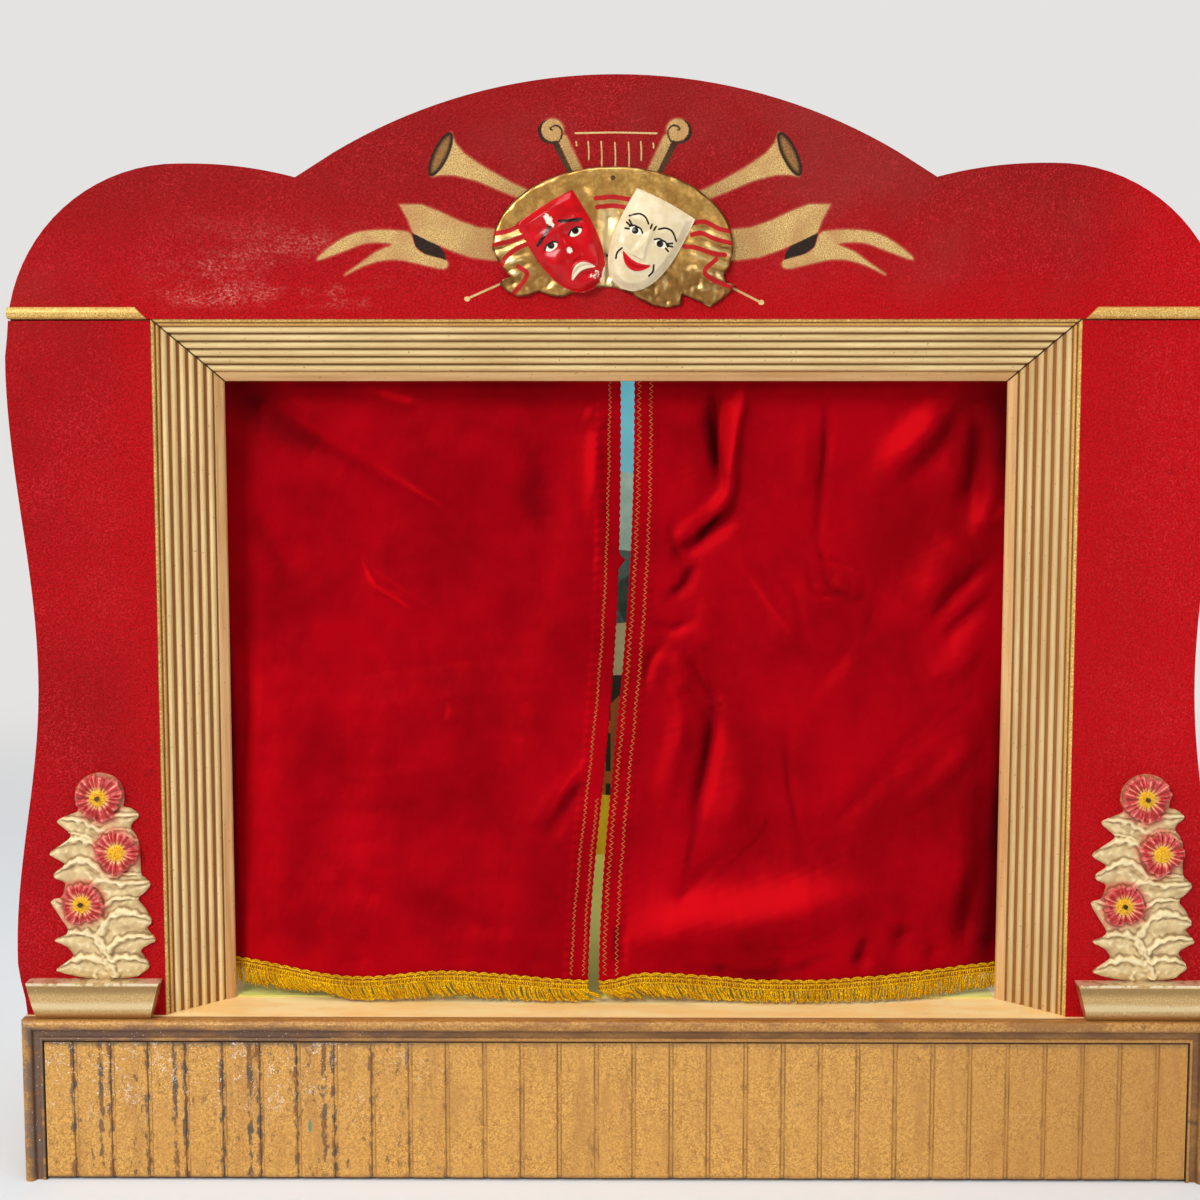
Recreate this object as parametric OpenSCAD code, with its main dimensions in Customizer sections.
// Table-top puppet theatre with a stage box, a scalloped proscenium and two velvet curtains.
// Millimetres, +Z up, front towards -Y, origin on the table under the middle of the stage box.

/* [Stage box] */
// Width over the end mouldings
base_width = 858; // [640:2:1100]
// Depth from the front moulding to the back of the box
base_depth = 540; // [420:5:700]
// Height of the stage floor above the table
base_height = 120; // [90:1:180]
// Thickness of the floor board
floor_thickness = 6; // [4:0.5:12]
// Thickness of the end boards
end_thickness = 18; // [12:0.5:24]
// Thickness of the back rail
rail_thickness = 12; // [8:0.5:20]
// Depth of the mouldings round the front panel
frame_depth = 9; // [7:0.5:14]
// Width of the end mouldings, seen from the front
end_moulding_width = 15; // [12:0.5:24]
// Height of the moulding over the front panel
top_moulding_height = 16; // [12:0.5:24]
// Thickness of the fluted front panel
fascia_thickness = 5; // [3:0.5:8]
// Gap left round the front panel
fascia_gap = 0.8; // [0.4:0.1:2]
// Height of the front panel's lower edge above the table
fascia_lift = 2.4; // [1:0.1:6]
// Distance between the flutes of the front panel
flute_pitch = 27; // [15:0.5:50]
// Width of one flute
flute_width = 2.6; // [1.5:0.1:5]
// Depth of one flute
flute_depth = 0.9; // [0.4:0.1:2]
// Side of the square battens under the floor
batten_side = 18; // [12:1:30]
// Side of the glued corner blocks
block_side = 22; // [14:1:34]
// Height of the glued corner blocks
block_height = 80; // [40:1:85]
// Thickness of the card laid on the acting area
mat_thickness = 1.2; // [0.8:0.1:3]

/* [Proscenium] */
// Width of the stage opening between the columns
opening_width = 566; // [440:2:800]
// Height of the stage opening above the floor
opening_height = 458; // [340:2:600]
// How far each moulding splays inwards, and back by as much
splay = 44; // [36:1:60]
// Thickness of the reeded mouldings
reeded_thickness = 12; // [9:0.5:18]
// Distance from the front of the box to the red boards
setback = 15; // [12:0.5:24]
// Thickness of the red boards
board_thickness = 6; // [4:0.5:10]
// Half width of the wings at the stage floor
wing_foot = 428; // [320:1:560]
// Half width of the wings at the hip
wing_hip = 434; // [320:1:560]
// Half width of the wings at the waist
wing_waist = 413; // [320:1:560]
// Half width of the wings at the shoulder
wing_shoulder = 430; // [320:1:560]
// Height of the hip above the floor
hip_height = 40; // [20:1:90]
// Height of the waist above the floor
waist_height = 250; // [150:1:330]
// Height of the shoulder below the top of the wing
shoulder_drop = 30; // [10:1:80]
// Dark gap between each wing and the pediment
split_gap = 1; // [0.5:0.1:3]
// Gap in the mitres between the header and the columns
mitre_gap = 0.5; // [0.3:0.1:1.5]
// Side of the square posts behind the wings
post_side = 20; // [16:1:30]

/* [Reeds] */
// Width of the gilt bead on the outer edge
bead_width = 4.2; // [3:0.1:8]
// Width of the second, browner bead
inner_bead_width = 3.3; // [2:0.1:6]
// Number of reeds
reed_count = 6; // [3:1:9]
// Distance between the reeds
reed_pitch = 7.5; // [5:0.1:9]
// Width of the groove between two reeds
reed_groove = 0.9; // [0.5:0.1:2]
// Depth of the grooves
groove_depth = 1.8; // [0.8:0.1:2.4]
// Radius of the rounded inner edge
flat_radius = 3; // [1:0.1:5]

/* [Pediment] */
// Height of the crown's top above the wings
crown_height = 168; // [120:1:240]
// Radius of the crown
crown_radius = 390; // [300:5:600]
// Half width of the crown's round stretch
crown_reach = 197; // [140:1:260]
// Half distance between the two notches
notch_half = 223.5; // [180:0.5:300]
// Height of the notches above the wings
notch_height = 98; // [60:1:140]
// Half distance between the shoulder tops
shoulder_half = 297; // [240:1:380]
// Height of the shoulder tops above the notches
shoulder_rise = 9.5; // [4:0.5:20]
// Radius of the outer corners, measured upwards
corner_radius = 123; // [90:1:150]
// Flat stretch between a shoulder's top and the outer corner
shoulder_flat = 8; // [0:1:30]
// Half width of the pediment along its lower edge
pediment_half = 427; // [330:1:560]
// Height of the gilt strips on the lower edge
strip_height = 8.5; // [5:0.5:16]
// Depth of the gilt strips
strip_depth = 5; // [3:0.5:9]
// Height of the batten behind the pediment
pediment_batten = 24; // [16:1:40]
// Radius of the locating pegs
peg_radius = 4; // [2.5:0.5:6]
// Depth of the pegs in the posts
peg_depth = 30; // [15:1:50]
// Clearance round a peg in its post
peg_clearance = 0.3; // [0.1:0.05:0.6]
// Clearance round a glued or driven pin
drive_clearance = 0.05; // [0.02:0.01:0.1]

/* [Crest] */
// Half width of the crest
crest_half = 84; // [60:1:110]
// Height of the crest's middle above the lower edge of the pediment
crest_rise = 50; // [40:1:80]
// Height of the crest's round top above its middle
crest_top = 55; // [40:1:80]
// Thickness of the crest
crest_thickness = 3.5; // [2:0.5:6]
// Width of each mask
mask_width = 50; // [36:1:64]
// Length of each mask
mask_length = 66; // [50:1:90]
// Depth of each mask
mask_depth = 10; // [6:0.5:11]
// Gap between the two masks where their chins come nearest
mask_gap = 2; // [1:0.5:8]

/* [Flower pots] */
// Width of a pot at its rim
pot_width = 96; // [70:1:110]
// Width of a pot at its foot
pot_foot_width = 82; // [50:1:100]
// Height of a pot
pot_height = 27; // [18:1:40]
// Depth of a pot
pot_depth = 14; // [9:0.5:14]
// Distance from the middle of the left pot to the middle of the theatre
left_pot_x = 377; // [300:1:460]
// Distance from the middle of the right pot to the middle of the theatre
right_pot_x = 381; // [300:1:460]
// Distance from the middle of the left flowers to the middle of the theatre
left_flowers_x = 371; // [300:1:460]
// Distance from the middle of the right flowers to the middle of the theatre
right_flowers_x = 380; // [300:1:460]
// Width of the leaf relief
leaf_width = 74; // [44:1:80]
// Height of the leaf relief above the pot
leaf_height = 134; // [90:1:170]
// Thickness of the leaf relief
leaf_thickness = 6; // [3:0.5:9]
// Radius of a blossom
blossom_radius = 15.5; // [10:0.5:20]
// Thickness of a blossom
blossom_thickness = 9; // [6:0.5:11]
// Number of petals of a blossom
petal_count = 20; // [8:1:28]
// Radius of a pin
pin_radius = 0.8; // [0.5:0.1:1.2]
// Radius of a pin's head
pin_head_radius = 1.7; // [1.3:0.1:3]
// Height of a pin's head
pin_head_height = 0.8; // [0.4:0.1:1.5]

/* [Curtains] */
// Radius of the curtain rod
rod_radius = 3; // [2:0.25:5]
// Distance from the front of the box to the rod
rod_setback = 84; // [76:1:120]
// Height of the rod above the top of the opening
rod_rise = 20; // [16:1:40]
// Number of rings on each curtain
ring_count = 6; // [3:1:6]
// Radius of a ring, to the middle of its wire
ring_radius = 6.2; // [5:0.1:9]
// Radius of the ring's wire
ring_wire = 0.9; // [0.6:0.1:1.5]
// Thickness of the curtain cloth
cloth_thickness = 2; // [1.5:0.1:4]
// How far the cloth's lower edge leans forward
cloth_lean = 36; // [10:1:38]
// Distance from the rod's middle line to the cloth's outer edge, beyond the opening
cloth_tuck = 6; // [2:1:12]
// Inner edge of the left curtain at the rod
left_edge_top = 4; // [-30:1:6]
// Inner edge of the left curtain at its hem
left_edge_foot = -20; // [-60:1:6]
// Inner edge of the right curtain at the rod
right_edge_top = 14; // [8:1:60]
// Inner edge of the right curtain at its hem
right_edge_foot = -12; // [-18:1:60]
// Mean height of the fringe's top edge above the floor
hem_height = 20; // [18:1:40]
// Height of the fringe with its heading
fringe_height = 21; // [12:1:30]
// Width of the fringe's woven heading
heading_height = 7; // [4:1:12]
// Thickness of the fringe
fringe_thickness = 2; // [1.5:0.1:4]
// Least height of the fringe above the floor
fringe_clear = 1.8; // [1.5:0.1:6]

/* [Backdrop] */
// Distance from the front of the box to the backdrop
backdrop_setback = 520; // [300:1:680]
// Width of the painted backdrop
backdrop_width = 600; // [420:2:800]
// Height of the painted backdrop
backdrop_height = 484; // [360:2:620]
// Thickness of the painted backdrop
backdrop_thickness = 3; // [2:0.5:6]
// Depth of the grooves that hold the backdrop
slot_depth = 8; // [5:0.5:12]
// Side clearance of the backdrop in its grooves
slot_clearance = 0.5; // [0.3:0.1:1.5]
// Height of the lifting rail on the backdrop
lift_rail_height = 16; // [10:1:30]

/* [Fasteners] */
// Radius of the screw shanks
screw_radius = 2; // [1.5:0.25:3]
// Radius of the screw heads
screw_head_radius = 4.5; // [3:0.25:7]
// Height of the screw heads
screw_head_height = 2.5; // [1.5:0.25:5]
// Depth of the screws in the posts
screw_grip = 24; // [12:1:40]

/* [Clearances] */
// Gap between a moving piece and its seat
running_gap = 0.3; // [0.2:0.05:0.6]

/* [Hidden] */
$fn = 48;
side_names = ["left", "right"];
ring_names = [for (s = side_names) for (i = [1:ring_count]) str(s, "_ring_", i)];

// Colours
red_board = [0.71, 0.11, 0.16];
velvet = [0.72, 0.0, 0.07];
cream = [0.87, 0.79, 0.6];
gilt = [0.76, 0.58, 0.28];
champagne = [0.72, 0.63, 0.43];
bare_wood = [0.72, 0.56, 0.36];
steel = [0.55, 0.55, 0.55];
brass = [0.8, 0.65, 0.3];
straw = [0.85, 0.62, 0.1];

// Planes shared by the pieces
front = -base_depth / 2;
inner_half = base_width / 2 - end_moulding_width;
split_z = base_height + opening_height + splay;
column_half = opening_width / 2 + splay;
board_front = front + setback;
board_back = board_front + board_thickness;
face_width = splay * sqrt(2);
end_inner = base_width / 2 - end_thickness;
box_front = front + frame_depth;
floor_under = base_height - floor_thickness;
mitre_far = base_width + base_height;

// Points of an arc in degrees, both ends included
function arc(cx, cy, r, a0, a1, n) =
    [for (i = [0:n]) let (a = a0 + (a1 - a0) * i / n) [cx + r * cos(a), cy + r * sin(a)]];
// Cosine blend from a to b as t goes from 0 to 1
function ease(a, b, t) = a + (b - a) * (1 - cos(180 * max(0, min(1, t)))) / 2;

// Stage box

module stage_floor() {
    color(cream) difference() {
        translate([-base_width / 2, box_front, floor_under])
            cube([base_width, base_depth - frame_depth, floor_thickness]);
        post_screw_holes();
    }
}

module stage_mat() {
    mat_front = front + setback + splay;
    mat_back = front + backdrop_setback - slot_side / 2;
    color([0.78, 0.8, 0.35]) translate([-opening_width / 2, mat_front, base_height])
        cube([opening_width, mat_back - mat_front, mat_thickness]);
}

// Flutes on each side of the middle, which lies between two of them
flute_number = floor(inner_half / flute_pitch);

module base_fascia() {
    panel_half = inner_half - fascia_gap;
    panel_top = base_height - top_moulding_height - fascia_gap;
    color(gilt) translate([0, box_front, 0]) difference() {
        translate([-panel_half, -fascia_thickness, fascia_lift])
            cube([2 * panel_half, fascia_thickness, panel_top - fascia_lift]);
        for (side = [-1, 1], i = [1:flute_number])
            translate([side * (i - 0.5) * flute_pitch, -fascia_thickness, base_height / 2])
                cube([flute_width, 2 * flute_depth, 2 * base_height], center = true);
    }
}

// Section of the box mouldings: a rounded outer half, a hollow and a small inner bead
module box_profile(w) {
    round_w = w * 0.5;
    bead_w = w * 0.2;
    r = round_w * 0.45;
    translate([0, frame_depth / 2]) square([w, frame_depth / 2]);
    translate([0, r]) square([round_w, frame_depth - r]);
    translate([r, 0]) square([round_w - 2 * r + 0.01, frame_depth]);
    for (x = [r, round_w - r]) translate([x, r]) circle(r);
    translate([w - bead_w / 2, frame_depth / 2]) circle(bead_w / 2);
}

// Frame of the front panel, seen from the front, for the mitred corner of the mouldings
module box_corner(side) {
    polygon([[side * mitre_far, base_height + (mitre_far - base_width / 2) * corner_slope],
             [side * inner_half, base_height - top_moulding_height],
             [side * inner_half, -1], [side * mitre_far, -1]]);
}
corner_slope = top_moulding_height / end_moulding_width;

module fascia_top_moulding() {
    color(gilt) intersection() {
        translate([0, front, 0]) rotate([90, 0, 0]) translate([0, 0, -frame_depth - 1])
            linear_extrude(frame_depth + 2)
                polygon([[-base_width / 2, base_height], [base_width / 2, base_height],
                         [inner_half, base_height - top_moulding_height],
                         [-inner_half, base_height - top_moulding_height]]);
        translate([-base_width / 2, front, base_height]) rotate([90, 0, 90])
            rotate(-90) linear_extrude(base_width)
                box_profile(top_moulding_height);
    }
}

module end_moulding(side) {
    color(gilt) intersection() {
        translate([0, front, 0]) rotate([90, 0, 0]) translate([0, 0, -frame_depth - 1])
            linear_extrude(frame_depth + 2) box_corner(side);
        translate([side * base_width / 2, front, 0]) mirror([side > 0 ? 1 : 0, 0, 0])
            linear_extrude(base_height) box_profile(end_moulding_width);
    }
}

module left_end_moulding() { end_moulding(-1); }
module right_end_moulding() { end_moulding(1); }

module base_end(side) {
    color(bare_wood) difference() {
        translate([side > 0 ? end_inner : -base_width / 2, box_front, 0])
            cube([end_thickness, base_depth - frame_depth, floor_under]);
        end_screw_shank(side, drive_clearance);
    }
}

module base_left_end() { base_end(-1); }
module base_right_end() { base_end(1); }

module base_back_rail() {
    color(bare_wood) translate([-end_inner, -front - rail_thickness, 0])
        cube([2 * end_inner, rail_thickness, floor_under]);
}

module floor_battens() {
    color(bare_wood) for (share = [1 / 3, 2 / 3])
        translate([-end_inner, front + base_depth * share - batten_side / 2,
                   floor_under - batten_side])
            cube([2 * end_inner, batten_side, batten_side]);
}

module corner_blocks() {
    color(bare_wood) for (x = [-end_inner, end_inner - block_side])
        for (y = [box_front, -front - rail_thickness - block_side])
            translate([x, y, floor_under - block_height])
                cube([block_side, block_side, block_height]);
}

end_screw_drop = 12;
end_screw_back = 26;
end_screw_length = 12;

module end_screw_shank(side, clearance) {
    translate([side * base_width / 2, front + end_screw_back, base_height - end_screw_drop])
        rotate([0, -90 * side, 0])
            cylinder(h = end_screw_length + clearance, r = screw_radius + clearance);
}

module end_screws() {
    color(steel) for (side = [-1, 1]) {
        end_screw_shank(side, 0);
        translate([side * base_width / 2, front + end_screw_back, base_height - end_screw_drop])
            rotate([0, 90 * side, 0])
                cylinder(h = screw_head_height, r = screw_head_radius);
    }
}

// Places of the front and rear posts, as the middle of each post's foot
post_x = column_half + post_side / 2;
post_y = board_back + post_side / 2;
slot_side = backdrop_thickness + 2 * slot_clearance;
rear_post_x = backdrop_width / 2 + slot_clearance - slot_depth + post_side / 2;
rear_post_y = front + backdrop_setback;
post_spots = [[-post_x, post_y], [post_x, post_y], [-rear_post_x, rear_post_y],
              [rear_post_x, rear_post_y]];

screw_length = floor_thickness + screw_grip;

module post_screw_holes() {
    for (spot = post_spots)
        translate([spot[0], spot[1], floor_under - 1])
            cylinder(h = screw_length + 1 + drive_clearance, r = screw_radius + drive_clearance);
}

module post_screws() {
    color(steel) for (spot = post_spots) translate([spot[0], spot[1], floor_under]) {
        cylinder(h = screw_length, r = screw_radius);
        translate([0, 0, -screw_head_height])
            cylinder(h = screw_head_height, r = screw_head_radius);
    }
}

// Proscenium

wing_top = split_z - split_gap;
wing_steps = 40;

// Half width of a wing at height z: foot, hip, waist and shoulder joined by cosine curves
function wing_half(z) =
    let (hip_z = base_height + hip_height,
         waist_z = base_height + waist_height,
         shoulder_z = wing_top - shoulder_drop)
    z < hip_z ? ease(wing_foot, wing_hip, (z - base_height) / hip_height) :
    z < waist_z ? ease(wing_hip, wing_waist, (z - hip_z) / (waist_z - hip_z)) :
    z < shoulder_z ? ease(wing_waist, wing_shoulder, (z - waist_z) / (shoulder_z - waist_z)) :
    ease(wing_shoulder, pediment_half, (z - shoulder_z) / shoulder_drop);

module wing(side) {
    outline = [for (i = [0:wing_steps])
                   let (z = base_height + (wing_top - base_height) * i / wing_steps)
                   [side * wing_half(z), z]];
    color(red_board) translate([0, board_back, 0]) rotate([90, 0, 0])
        linear_extrude(board_thickness)
            polygon(concat(outline, [[side * column_half, wing_top],
                                     [side * column_half, base_height]]));
}

module left_wing() { wing(-1); }
module right_wing() { wing(1); }

// Section of the reeded moulding: x runs along its face from the outer edge, y into the wood
module reeded_profile() {
    flat_start = bead_width + inner_bead_width + reed_count * reed_pitch;
    reed_radius = (reed_pitch - reed_groove) / 2;
    intersection() {
        union() {
            translate([0, groove_depth]) square([face_width, reeded_thickness - groove_depth]);
            translate([bead_width / 2, bead_width / 2]) circle(bead_width / 2);
            translate([bead_width + inner_bead_width / 2, groove_depth])
                circle(inner_bead_width / 2);
            for (i = [0:reed_count - 1])
                translate([bead_width + inner_bead_width + (i + 0.5) * reed_pitch, reed_radius])
                    circle(reed_radius);
            translate([flat_start, 0])
                square([face_width - flat_start - flat_radius, reeded_thickness]);
            translate([face_width - flat_radius, flat_radius]) circle(flat_radius);
            translate([flat_start, flat_radius])
                square([face_width - flat_start, reeded_thickness - flat_radius]);
        }
        polygon([[0, 0], [face_width, 0], [face_width, reeded_thickness],
                 [reeded_thickness, reeded_thickness]]);
    }
}

// Areas that the mitres cut off, seen from the front: a column below its mitre, and the header
module column_area(side) {
    far = 2 * column_half;
    polygon([[0, -far], [side * (column_half + far), -far],
             [side * (column_half + far), split_z + far], [0, split_z - column_half]]);
}

module header_area() {
    far = 2 * column_half;
    polygon([[0, split_z - column_half + mitre_gap],
             [column_half + far, split_z + far + mitre_gap],
             [-column_half - far, split_z + far + mitre_gap]]);
}

module column(side) {
    color(cream) intersection() {
        translate([side * column_half, board_front, base_height])
            mirror([side > 0 ? 1 : 0, 0, 0]) rotate(45) linear_extrude(split_z - base_height)
                reeded_profile();
        translate([0, board_front + 2 * splay, 0]) rotate([90, 0, 0]) linear_extrude(3 * splay)
            column_area(side);
    }
}

module left_column() { column(-1); }
module right_column() { column(1); }

module peg_bore(side, depth, clearance) {
    translate([side * post_x, post_y, split_z - depth])
        cylinder(h = depth + 1, r = peg_radius + clearance);
}

module post(side) {
    color(bare_wood) difference() {
        translate([side * post_x - post_side / 2, post_y - post_side / 2, base_height])
            cube([post_side, post_side, split_z - base_height]);
        peg_bore(side, peg_depth + 1, peg_clearance);
        post_screw_holes();
    }
}

module left_post() { post(-1); }
module right_post() { post(1); }

// Pots and flowers

// Height of the round under a pot's front, and how far its foot and its rim are set back
pot_foot_round = 12;
pot_foot_inset = 5;
pot_rim_inset = 0.8;

// Radius of an arc that leaves an upright line and is inset from it after a rise
function leaving_radius(rise, inset) = (rise * rise + inset * inset) / (2 * inset);

module pot(side) {
    centre_x = side > 0 ? right_pot_x : -left_pot_x;
    rise = pot_height - pot_foot_round;
    upper = leaving_radius(rise, pot_rim_inset);
    lower = leaving_radius(pot_foot_round, pot_foot_inset);
    color(champagne) translate([centre_x, board_front, base_height + running_gap]) intersection() {
        rotate([90, 0, 0]) translate([0, 0, -1]) linear_extrude(pot_depth + 2)
            polygon([[-pot_foot_width / 2, 0], [pot_foot_width / 2, 0],
                     [pot_width / 2, pot_height], [-pot_width / 2, pot_height]]);
        rotate([90, 0, 90]) translate([0, 0, -pot_width]) linear_extrude(2 * pot_width)
            polygon(concat([[0, pot_height], [0, 0]],
                arc(lower - pot_depth, pot_foot_round, lower,
                    180 + asin(pot_foot_round / lower), 180, 16),
                [for (p = arc(upper - pot_depth, pot_foot_round, upper,
                              180, 180 - asin(rise / upper), 6)) if (p[1] > pot_foot_round) p]));
    }
}

module left_pot() { pot(-1); }
module right_pot() { pot(1); }

// Blossom centres, as shares of the relief's half width and of its height, the same casting twice
blossom_spots = [[0, 1.0], [0.31, 0.7], [-0.38, 0.42]];
leaf_pairs = 6;
leaf_steps = 6;
leaf_angle = 35;
// Shares of the relief's width: a leaf's length, the stem board and the foot
leaf_share = 0.56;
stem_share = 0.5;
foot_share = 0.8;
// Height of the relief's foot on the pot, and half width of a leaf as a share of its length
relief_foot = 9;
leaf_slimness = 0.32;

// A pointed leaf outline along +X, fuller near its stem
function leaf_half(half, t) = half * sin(180 * t) * (1 - 0.3 * t);
function leaf(length, half) =
    concat([for (i = [0:leaf_steps]) [length * i / leaf_steps, leaf_half(half, i / leaf_steps)]],
           [for (i = [leaf_steps - 1:-1:1])
                [length * i / leaf_steps, -leaf_half(half, i / leaf_steps)]]);

// Radius between two petals, as a share of the blossom's radius
petal_dip = 0.93;

module blossom_outline() {
    polygon([for (i = [0:2 * petal_count - 1])
                 let (r = blossom_radius * (i % 2 == 0 ? 1 : petal_dip), a = 180 * i / petal_count)
                 [r * cos(a), r * sin(a)]]);
}

flowers_foot = base_height + running_gap + pot_height + running_gap;

module flowers(side) {
    centre_x = side > 0 ? right_flowers_x : -left_flowers_x;
    leaf_length = leaf_width * leaf_share;
    color([0.86, 0.8, 0.62]) translate([centre_x, board_front, flowers_foot]) rotate([90, 0, 0]) {
        difference() {
            union() {
                linear_extrude(leaf_thickness) {
                    translate([-leaf_width * stem_share / 2, 0])
                        square([leaf_width * stem_share, leaf_height]);
                    translate([-leaf_width * foot_share / 2, 0])
                        square([leaf_width * foot_share, relief_foot]);
                    for (i = [0:leaf_pairs - 1]) for (turn = [leaf_angle, 180 - leaf_angle])
                        translate([0, leaf_height * (i + 0.25) / leaf_pairs]) rotate(turn)
                            polygon(leaf(leaf_length, leaf_length * leaf_slimness));
                }
                for (spot = blossom_spots)
                    translate([spot[0] * leaf_width / 2, spot[1] * leaf_height])
                        linear_extrude(blossom_thickness) blossom_outline();
            }
            flower_pin_holes();
        }
    }
}

module flower_pin_holes() {
    for (i = [0, 2])
        translate([blossom_spots[i][0] * leaf_width / 2, blossom_spots[i][1] * leaf_height, -1])
            cylinder(h = blossom_thickness + 2, r = pin_radius + drive_clearance);
}

module left_flowers() { flowers(-1); }
module right_flowers() { flowers(1); }

module flower_pins() {
    color(steel) for (centre_x = [-left_flowers_x, right_flowers_x]) for (i = [0, 2])
        translate([centre_x + blossom_spots[i][0] * leaf_width / 2, board_front,
                   flowers_foot + blossom_spots[i][1] * leaf_height]) rotate([90, 0, 0]) {
            cylinder(h = blossom_thickness, r = pin_radius);
            translate([0, 0, blossom_thickness])
                cylinder(h = pin_head_height, r = pin_head_radius);
        }
}

// Pediment

// Right half of the outline from the lower corner up to the crown's top
function pediment_side() =
    let (corner_z = split_z + notch_height + shoulder_rise - corner_radius,
         start = asin((split_z - corner_z) / corner_radius),
         corner_x = shoulder_half + shoulder_flat,
         corner_reach = (pediment_half - corner_x) / cos(start),
         run = shoulder_half - notch_half,
         shoulder_radius = (run * run + shoulder_rise * shoulder_rise) / (2 * shoulder_rise),
         sweep = asin(run / shoulder_radius),
         crown_z = split_z + crown_height - crown_radius)
    concat([for (p = arc(0, 0, 1, start, 90, 18))
                [corner_x + corner_reach * p[0], corner_z + corner_radius * p[1]]],
           arc(shoulder_half, split_z + notch_height + shoulder_rise - shoulder_radius,
               shoulder_radius, 90, 90 + sweep, 10),
           arc(0, crown_z, crown_radius, 90 - asin(crown_reach / crown_radius), 90, 18));

module pediment_board() {
    half = pediment_side();
    last = len(half) - 1;
    color(red_board) difference() {
        translate([0, board_back, 0]) rotate([90, 0, 0]) linear_extrude(board_thickness)
            polygon(concat(half, [for (i = [last - 1:-1:0]) [-half[i][0], half[i][1]]]));
        crest_pin_shank(drive_clearance);
    }
}

module header_moulding() {
    color(cream) intersection() {
        translate([-column_half, board_front, split_z]) rotate([90, 0, 90]) rotate(-45)
            linear_extrude(2 * column_half) reeded_profile();
        translate([0, board_front + 2 * splay, 0]) rotate([90, 0, 0]) linear_extrude(3 * splay)
            header_area();
    }
}

module gilt_strip(side) {
    reach = wing_half(wing_top);
    inner = column_half + strip_height / 4;
    color(gilt) intersection() {
        translate([0, board_front, split_z + strip_height / 2]) rotate([0, 90, 0])
            translate([0, 0, side > 0 ? 0 : -reach]) linear_extrude(reach) intersection() {
                circle(r = strip_height / 2);
                translate([-strip_height, -strip_depth]) square([2 * strip_height, strip_depth]);
            }
        translate([0, board_front, split_z]) rotate([90, 0, 0]) linear_extrude(strip_depth)
            polygon([for (p = [[inner, 0], [inner + strip_height, strip_height],
                               [reach, strip_height], [reach, 0]]) [side * p[0], p[1]]]);
    }
}

module left_gilt_strip() { gilt_strip(-1); }
module right_gilt_strip() { gilt_strip(1); }

batten_half = post_x + post_side / 2;
peg_hold = 16;

module pediment_back_batten() {
    color(bare_wood) difference() {
        translate([-batten_half, post_y - post_side / 2, split_z])
            cube([2 * batten_half, post_side, pediment_batten]);
        for (side = [-1, 1])
            translate([side * post_x, post_y, split_z - 1])
                cylinder(h = peg_hold + 1 + drive_clearance, r = peg_radius + drive_clearance);
    }
}

module locating_pegs() {
    color(bare_wood) for (side = [-1, 1])
        translate([side * post_x, post_y, split_z - peg_depth])
            cylinder(h = peg_depth + peg_hold, r = peg_radius);
}

// Crest

crest_z = split_z + crest_rise;
crest_x = -2;
crest_steps = 24;

module crest_plaque() {
    // Lower edge of the drapery behind the masks, as shares of the crest's half width and rise
    drapery = [[0.97, -0.2], [0.92, -0.42], [1.0, -0.56], [0.9, -0.74], [0.8, -0.84],
               [0.66, -0.76], [0.57, -0.66], [0.55, -0.84], [0.44, -0.86], [0.32, -0.82],
               [0.2, -0.7], [0.08, -0.6], [-0.1, -0.57], [-0.3, -0.62], [-0.42, -0.72],
               [-0.58, -0.64], [-0.78, -0.7], [-0.94, -0.54], [-0.84, -0.42],
               [-0.92, -0.26]];
    color(gilt) difference() {
        translate([crest_x, board_front, crest_z]) rotate([90, 0, 0])
            linear_extrude(crest_thickness)
                polygon(concat([for (i = [0:crest_steps])
                                    [crest_half * cos(180 * i / crest_steps),
                                     crest_top * sin(180 * i / crest_steps)]],
                               [for (i = [len(drapery) - 1:-1:0])
                                    [crest_half * drapery[i][0], crest_rise * drapery[i][1]]]));
        crest_pin_shank(drive_clearance);
    }
}

pin_drop = 8;

module crest_pin_shank(clearance) {
    translate([crest_x, board_back + 1, crest_z + crest_top - pin_drop]) rotate([90, 0, 0])
        cylinder(h = board_thickness + crest_thickness + 2, r = pin_radius + clearance);
}

module crest_pin() {
    color(steel) {
        translate([crest_x, board_back, crest_z + crest_top - pin_drop]) rotate([90, 0, 0])
            cylinder(h = board_thickness + crest_thickness, r = pin_radius);
        translate([crest_x, board_front - crest_thickness, crest_z + crest_top - pin_drop])
            rotate([90, 0, 0]) cylinder(h = pin_head_height, r = pin_head_radius);
    }
}

mask_steps = 12;
// Tilt of each mask in degrees, and where their chins come nearest, from the theatre's middle
tragedy_tilt = 31;
comedy_tilt = -28;
mask_meeting_x = -6.4;
// Middle of each mask from the theatre's middle and above the crest's, and its tilt
tragedy_place = [mask_meeting_x - mask_gap / 2 - mask_reach(tragedy_tilt), 1.5, tragedy_tilt];
comedy_place = [mask_meeting_x + mask_gap / 2 + mask_reach(comedy_tilt), 3, comedy_tilt];

// Shield outline of a mask, brow edge upwards and chin downwards, t from brow to chin
function mask_half(t) = mask_width / 2 * (0.92 + 0.08 * t) * sqrt(1 - pow(t, 3.2));
function mask_outline() =
    concat([for (i = [0:mask_steps])
                [mask_half(i / mask_steps), mask_length * (0.45 - i / mask_steps)]],
           [for (i = [mask_steps - 1:-1:0])
                [-mask_half(i / mask_steps), mask_length * (0.45 - i / mask_steps)]]);

// How far a tilted mask reaches to its side from its middle
function mask_reach(tilt) =
    max([for (point = mask_outline()) point[0] * cos(tilt) - point[1] * sin(abs(tilt))]);

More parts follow.
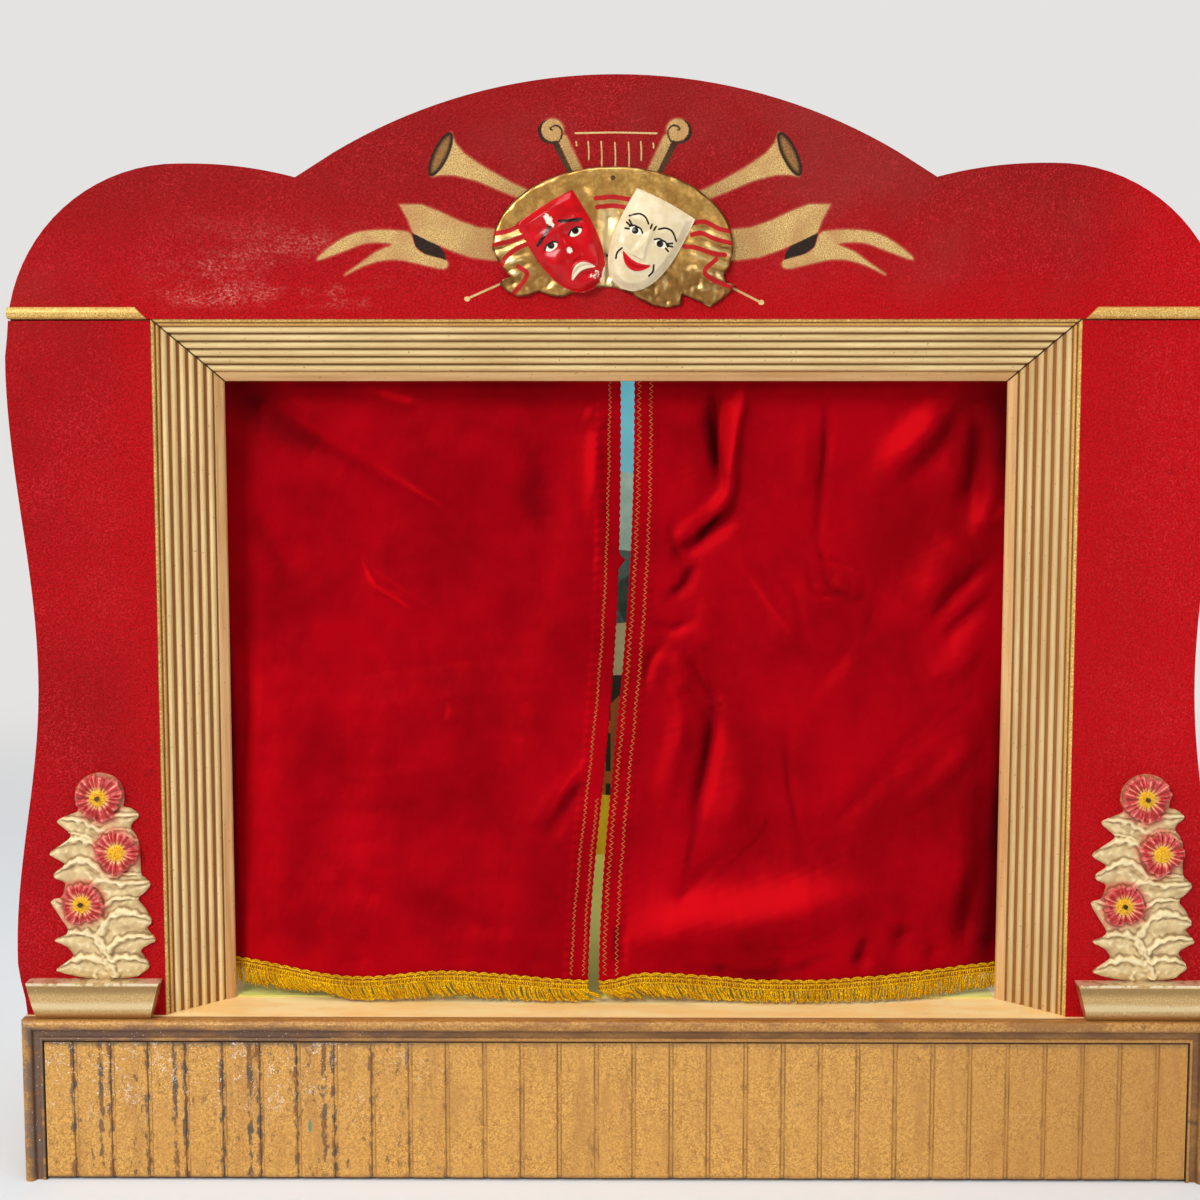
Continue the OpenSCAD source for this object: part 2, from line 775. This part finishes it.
module mask(place) {
    dome_radius = (mask_length * mask_length / 4 + mask_depth * mask_depth) / mask_depth / 1.6;
    translate([place[0], board_front - crest_thickness, crest_z + place[1]])
        rotate([90, 0, 0]) rotate(place[2]) intersection() {
            linear_extrude(mask_depth) polygon(mask_outline());
            translate([0, 0, mask_depth - dome_radius]) sphere(r = dome_radius);
        }
}

module tragedy_mask() { color([0.78, 0.06, 0.09]) mask(tragedy_place); }
module comedy_mask() { color([0.93, 0.9, 0.8]) mask(comedy_place); }

// Curtains

rod_y = front + rod_setback;
rod_z = base_height + opening_height + rod_rise;
rod_half = column_half + 3;
ring_z = rod_z + rod_radius + running_gap - ring_radius + ring_wire;
cloth_top = ring_z - ring_radius - ring_wire - running_gap;
cloth_edge = opening_width / 2 + cloth_tuck;
ring_margin = 6;

module curtain_rod() {
    color(brass) translate([-rod_half, rod_y, rod_z]) rotate([0, 90, 0])
        cylinder(h = 2 * rod_half, r = rod_radius);
}

bracket_plate = 3;
bracket_height = 26;
bracket_nose = 6;

module rod_bracket(side) {
    post_back = post_y + post_side / 2;
    arm_reach = rod_y + rod_radius + bracket_nose - post_back;
    color(steel) translate([side * column_half, post_back, rod_z]) difference() {
        union() {
            translate([side > 0 ? 0 : -post_side, 0, -bracket_height / 2])
                cube([post_side, bracket_plate, bracket_height]);
            translate([side > 0 ? 0 : -bracket_plate, 0, -bracket_height / 2])
                cube([bracket_plate, arm_reach, bracket_height]);
        }
        translate([0, rod_y - post_back, 0]) rotate([0, 90, 0])
            cylinder(h = 4 * bracket_plate, r = rod_radius + drive_clearance, center = true);
    }
}

module left_rod_bracket() { rod_bracket(-1); }
module right_rod_bracket() { rod_bracket(1); }

// Ring 1 leads at the curtain's inner edge, the last ring stays at the outer edge
function ring_x(side, i) =
    let (inner = side > 0 ? right_edge_top + ring_margin : left_edge_top - ring_margin,
         outer = side * (cloth_edge - ring_margin))
    inner + (outer - inner) * (i - 1) / (ring_count - 1);

module ring(side, i) {
    color(brass) translate([ring_x(side, i), rod_y, ring_z]) rotate([0, 90, 0])
        rotate_extrude() translate([ring_radius, 0]) circle(r = ring_wire, $fn = 24);
}

// Inner edge of a curtain at a share v of the way down
function edge_x(side, v) =
    side > 0 ? ease(right_edge_top, right_edge_foot, pow(v, 1.3)) :
    ease(left_edge_top, left_edge_foot, pow(v, 1.6));

// Waves of the hem: a share of the way from the outer to the inner edge, and a height
hem_waves = [[[0, 7], [0.37, -1.4], [0.6, 3], [1, -3.4]], [[0, 4], [0.55, -3.5], [0.88, 2], [1, -4]]];

function hem_z(side, u) =
    let (w = hem_waves[side > 0 ? 1 : 0], k = u < w[1][0] ? 0 : u < w[2][0] ? 1 : 2)
    base_height + hem_height
    + ease(w[k][1], w[k + 1][1], (u - w[k][0]) / (w[k + 1][0] - w[k][0]));

// Main folds: both ends of the fold's line as x and height above the floor, half its width,
// and its depth, towards the audience where positive
cloth_folds = [
    [[-17, 425, -17, 384, 10, 5], [-56, 425, -58, 320, 15, -5], [-255, 448, -130, 371, 22, 6],
     [-268, 440, -245, 400, 18, -7], [-150, 250, -140, 150, 95, 6], [-40, 210, -75, 110, 16, -3]],
    [[98, 456, 80, 371, 10, 8], [86, 456, 74, 380, 8, -7], [153, 456, 151, 305, 10, -5],
     [230, 440, 195, 390, 24, 8], [274, 400, 272, 290, 14, -7], [100, 90, 200, 100, 38, 10],
     [52, 70, 108, 112, 13, -7], [84, 330, 64, 235, 14, -5], [250, 250, 175, 170, 16, 5],
     [30, 40, 250, 40, 12, -4]]];
cloth_steps = 34;
cloth_rows = 14;

// Square of the distance from a point to the line between two ends
function line_distance_sq(x, z, f) =
    let (dx = f[2] - f[0], dz = f[3] - f[1],
         t = max(0, min(1, ((x - f[0]) * dx + (z - f[1]) * dz) / (dx * dx + dz * dz))),
         ex = x - f[0] - t * dx, ez = z - f[1] - t * dz)
    ex * ex + ez * ez;

function sum(v, i = 0) = i < len(v) ? v[i] + sum(v, i + 1) : 0;

function cloth_x(side, u, v) = side * cloth_edge * (1 - u) + edge_x(side, v) * u;

// Depth of the cloth's middle surface: it leans forward on its way down
function cloth_y(side, u, v) =
    let (free = sin(90 * min(1, u * 2.5)),
         lean = cloth_lean * pow(v, 2.2) * (0.3 + 0.7 * free),
         x = cloth_x(side, u, v),
         z = (1 - v) * (cloth_top - base_height) + v * hem_height,
         folds = [for (f = cloth_folds[side > 0 ? 1 : 0])
                      f[5] * exp(-line_distance_sq(x, z, f) / (f[4] * f[4]))])
    rod_y - lean - sum(folds) * min(1, 3 * free) * min(1, 8 * v);

function cloth_point(side, u, z, offset) =
    let (low = hem_z(side, u) - heading_height,
         v = max(0, min(1, (cloth_top - z) / (cloth_top - low))))
    [cloth_x(side, u, v), cloth_y(side, u, v) + offset, z];

// Closed sheet between two lists of heights, one list of rows per column
module hanging_sheet(side, rows, steps, offset, thickness) {
    count = len(rows[0]);
    points = concat(
        [for (i = [0:steps]) for (z = rows[i]) cloth_point(side, i / steps, z, offset - thickness / 2)],
        [for (i = [0:steps]) for (z = rows[i]) cloth_point(side, i / steps, z, offset + thickness / 2)]);
    back = (steps + 1) * count;
    walls = [for (i = [0:steps - 1]) for (j = [0:count - 2])
                 let (a = i * count + j) each [[a, a + 1, a + count], [a + 1, a + count + 1, a + count],
                     [back + a, back + a + count, back + a + 1],
                     [back + a + 1, back + a + count, back + a + count + 1]]];
    ends = [for (j = [0:count - 2]) for (i = [0, steps])
                let (a = i * count + j, b = back + a)
                each i == 0 ? [[a, b, a + 1], [b, b + 1, a + 1]] : [[a, a + 1, b], [b, a + 1, b + 1]]];
    rims = [for (i = [0:steps - 1]) for (j = [0, count - 1])
                let (a = i * count + j, b = back + a, c = a + count, d = b + count)
                each j == 0 ? [[a, c, b], [c, d, b]] : [[a, b, c], [c, b, d]]];
    faces = concat(walls, ends, rims);
    polyhedron(points, side > 0 ? [for (f = faces) [f[0], f[2], f[1]]] : faces);
}

module curtain(side) {
    rows = [for (i = [0:cloth_steps])
                let (hem = hem_z(side, i / cloth_steps))
                concat([for (j = [0:cloth_rows]) cloth_top + (hem - cloth_top) * j / cloth_rows],
                       [hem - heading_height])];
    color(velvet) hanging_sheet(side, rows, cloth_steps, 0, cloth_thickness);
}

module left_curtain() { curtain(-1); }
module right_curtain() { curtain(1); }

module fringe(side) {
    rows = [for (i = [0:cloth_steps])
                let (high = hem_z(side, i / cloth_steps),
                     low = max(base_height + fringe_clear, high - fringe_height))
                [high, high - heading_height, (high - heading_height + low) / 2, low]];
    color(straw) hanging_sheet(side, rows, cloth_steps,
                               -(cloth_thickness + fringe_thickness) / 2 - running_gap, fringe_thickness);
}

module left_fringe() { fringe(-1); }
module right_fringe() { fringe(1); }

// Backdrop

module rear_post(side) {
    height = backdrop_height;
    color(bare_wood) difference() {
        translate([side * rear_post_x - post_side / 2, rear_post_y - post_side / 2, base_height])
            cube([post_side, post_side, height]);
        translate([side * (rear_post_x - post_side / 2), rear_post_y, base_height + height / 2])
            cube([2 * slot_depth, slot_side, 2 * height], center = true);
        post_screw_holes();
    }
}

module left_rear_post() { rear_post(-1); }
module right_rear_post() { rear_post(1); }

module backdrop_board() {
    color([0.4, 0.74, 0.81])
        translate([-backdrop_width / 2, rear_post_y - backdrop_thickness / 2, base_height])
            cube([backdrop_width, backdrop_thickness, backdrop_height]);
}

module backdrop_lift_rail() {
    half = rear_post_x + post_side / 2;
    color(bare_wood) translate([-half, rear_post_y - post_side / 2, base_height + backdrop_height])
        cube([2 * half, post_side, lift_rail_height]);
}

stage_floor();
stage_mat();
base_fascia();
fascia_top_moulding();
left_end_moulding();
right_end_moulding();
base_left_end();
base_right_end();
base_back_rail();
floor_battens();
corner_blocks();
end_screws();
post_screws();
left_wing();
right_wing();
left_column();
right_column();
left_post();
right_post();
left_pot();
right_pot();
left_flowers();
right_flowers();
flower_pins();
pediment_board();
header_moulding();
left_gilt_strip();
right_gilt_strip();
pediment_back_batten();
locating_pegs();
crest_plaque();
tragedy_mask();
comedy_mask();
crest_pin();
curtain_rod();
left_rod_bracket();
right_rod_bracket();
left_curtain();
right_curtain();
left_fringe();
right_fringe();
left_rear_post();
right_rear_post();
backdrop_board();
backdrop_lift_rail();
for (s = [0, 1]) for (i = [1:ring_count])
    ring(2 * s - 1, i);
